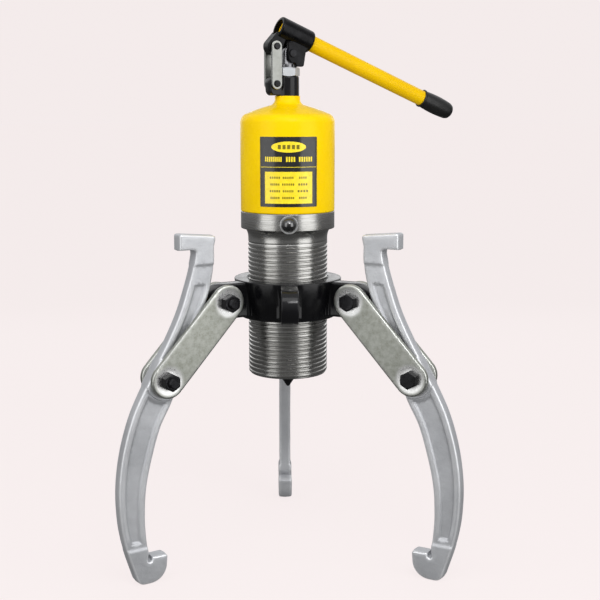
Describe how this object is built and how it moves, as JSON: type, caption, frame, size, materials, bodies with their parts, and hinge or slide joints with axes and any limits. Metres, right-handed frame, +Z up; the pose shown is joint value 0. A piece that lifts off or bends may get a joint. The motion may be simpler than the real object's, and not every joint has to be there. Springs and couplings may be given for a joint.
{
  "type": "three-jaw hydraulic gear puller",
  "caption": "Hydraulic gear puller: hand pump and reservoir on a threaded cylinder, with a screw collar that carries hinged jaws on paired straps.",
  "frame": {"origin": "centre of the flat on the ram's centre point, ram drawn in", "axes": "+Z up along the cylinder's axis; the spare lug, label and release valve face -Y; arms at azimuths 90, 210 and 330 degrees"},
  "size_m": [0.5443, 0.4587, 0.8558],
  "materials": {
    "yellow_paint": "gloss",
    "machined_steel": "turned, bright",
    "black_paint": "gloss black",
    "black_oxide": "black oxide, oiled",
    "zinc_plate": "dull zinc plate",
    "forged_steel": "forged and silver coated",
    "grip_rubber": "satin",
    "label_film": "printed film",
    "seal_rubber": "matte",
    "spring_steel": "drawn wire"
  },
  "bodies": {
    "collar": {"jaw_collar": "black_paint"},
    "cylinder": {"cylinder_barrel": "machined_steel", "valve_ring": "machined_steel", "oil_plug": "black_oxide", "gland_ring": "black_oxide", "return_spring": "spring_steel", "reservoir_shell": "yellow_paint", "reservoir_seal": "seal_rubber", "label_plate": "label_film", "pump_body": "black_paint", "gland_nut": "zinc_plate"},
    "ram": {"ram": "machined_steel", "piston_seal": "seal_rubber", "ram_tip": "black_oxide"},
    "release_valve": {"release_valve": "black_paint"},
    "pump_links": {"pump_link_near": "zinc_plate", "pump_link_far": "zinc_plate", "link_pin_lower": "black_oxide", "link_pin_upper": "black_oxide"},
    "lever": {"lever_head": "black_paint", "handle_tube": "yellow_paint", "handle_grip": "grip_rubber"},
    "plunger": {"plunger": "machined_steel", "plunger_pin": "black_oxide"},
    "straps_back": {"strap_back_a": "zinc_plate", "strap_back_b": "zinc_plate", "upper_back_bolt": "black_oxide", "upper_back_nut": "black_oxide", "lower_back_bolt": "black_oxide", "lower_back_nut": "black_oxide"},
    "jaw_back": {"jaw_back": "forged_steel"},
    "straps_left": {"strap_left_a": "zinc_plate", "strap_left_b": "zinc_plate", "upper_left_bolt": "black_oxide", "upper_left_nut": "black_oxide", "lower_left_bolt": "black_oxide", "lower_left_nut": "black_oxide"},
    "jaw_left": {"jaw_left": "forged_steel"},
    "straps_right": {"strap_right_a": "zinc_plate", "strap_right_b": "zinc_plate", "upper_right_bolt": "black_oxide", "upper_right_nut": "black_oxide", "lower_right_bolt": "black_oxide", "lower_right_nut": "black_oxide"},
    "jaw_right": {"jaw_right": "forged_steel"}
  },
  "joints": [
    {"name": "collar_travel", "type": "slide", "parent": "collar", "child": "cylinder", "axis": [0, 0, 1], "range_m": [-0.055, 0.075]},
    {"name": "ram_extend", "type": "slide", "parent": "cylinder", "child": "ram", "axis": [0, 0, -1], "range_m": [0, 0.06], "stiffness_N_per_m": 2000, "springref_m": -0.06, "deforming": ["return_spring"]},
    {"name": "release_turn", "type": "hinge", "parent": "cylinder", "child": "release_valve", "pos_m": [0, -0.08, 0.268], "axis": [0, -1, 0], "range_deg": [-270, 0]},
    {"name": "link_rock", "type": "hinge", "parent": "cylinder", "child": "pump_links", "pos_m": [-0.0222, -0.01035, 0.479], "axis": [0.4226, -0.9063, 0], "range_deg": [-0.1, 1.1]},
    {"name": "lever_pump", "type": "hinge", "parent": "pump_links", "child": "lever", "pos_m": [-0.0222, -0.01035, 0.535], "axis": [0.4226, -0.9063, 0], "range_deg": [0, 40]},
    {"name": "plunger_stroke", "type": "slide", "parent": "cylinder", "child": "plunger", "axis": [0, 0, 1], "range_m": [-0.0005, 0.0205]},
    {"name": "strap_swing_back", "type": "hinge", "parent": "collar", "child": "straps_back", "pos_m": [0, 0.119, 0.15], "axis": [1, 0, 0], "range_deg": [-12, 30]},
    {"name": "jaw_swing_back", "type": "hinge", "parent": "straps_back", "child": "jaw_back", "pos_m": [0, 0.2213, 0.0403], "axis": [1, 0, 0], "range_deg": [-14, 1]},
    {"name": "strap_swing_left", "type": "hinge", "parent": "collar", "child": "straps_left", "pos_m": [-0.10306, -0.0595, 0.15], "axis": [-0.5, 0.866, 0], "range_deg": [-12, 30]},
    {"name": "jaw_swing_left", "type": "hinge", "parent": "straps_left", "child": "jaw_left", "pos_m": [-0.19165, -0.11065, 0.0403], "axis": [-0.5, 0.866, 0], "range_deg": [-14, 1]},
    {"name": "strap_swing_right", "type": "hinge", "parent": "collar", "child": "straps_right", "pos_m": [0.10306, -0.0595, 0.15], "axis": [-0.5, -0.866, 0], "range_deg": [-12, 30]},
    {"name": "jaw_swing_right", "type": "hinge", "parent": "straps_right", "child": "jaw_right", "pos_m": [0.19165, -0.11065, 0.0403], "axis": [-0.5, -0.866, 0], "range_deg": [-14, 1]}
  ],
  "couplings": [
    {"joint": "plunger_stroke", "follows": "lever_pump", "m_per_rad": 0.02866},
    {"joint": "link_rock", "follows": "lever_pump", "ratio": 0.0225}
  ]
}
